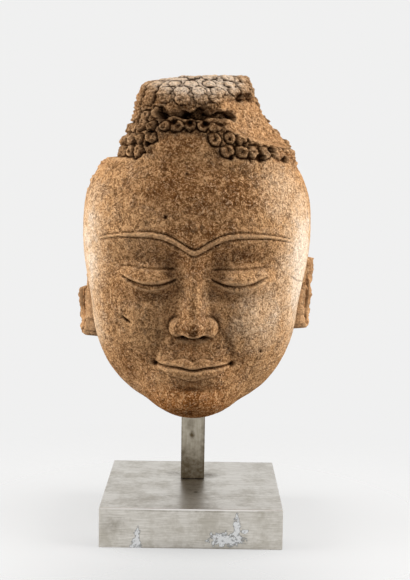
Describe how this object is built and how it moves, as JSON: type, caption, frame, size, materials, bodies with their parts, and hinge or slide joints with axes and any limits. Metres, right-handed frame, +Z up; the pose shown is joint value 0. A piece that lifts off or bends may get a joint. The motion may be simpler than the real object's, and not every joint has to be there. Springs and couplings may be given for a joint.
{
  "type": "stone buddha head",
  "caption": "Broken stone head of a serene figure with curled hair, held up by a square steel bar on a steel block.",
  "frame": {"origin": "centre of the base plate's underside", "axes": "+Z up, +X to the right as seen from the front, and the face looks along -Y"},
  "size_m": [0.2538, 0.2351, 0.465],
  "materials": {
    "stone": "weathered tan sandstone with brown stains and rough breaks",
    "post_steel": "satin steel bar, brushed along its length",
    "plate_steel": "satin steel block, brushed, with small stains and scuffs"
  },
  "bodies": {
    "root": {"stone_head": "stone", "post": "post_steel", "base_plate": "plate_steel"}
  },
  "joints": []
}
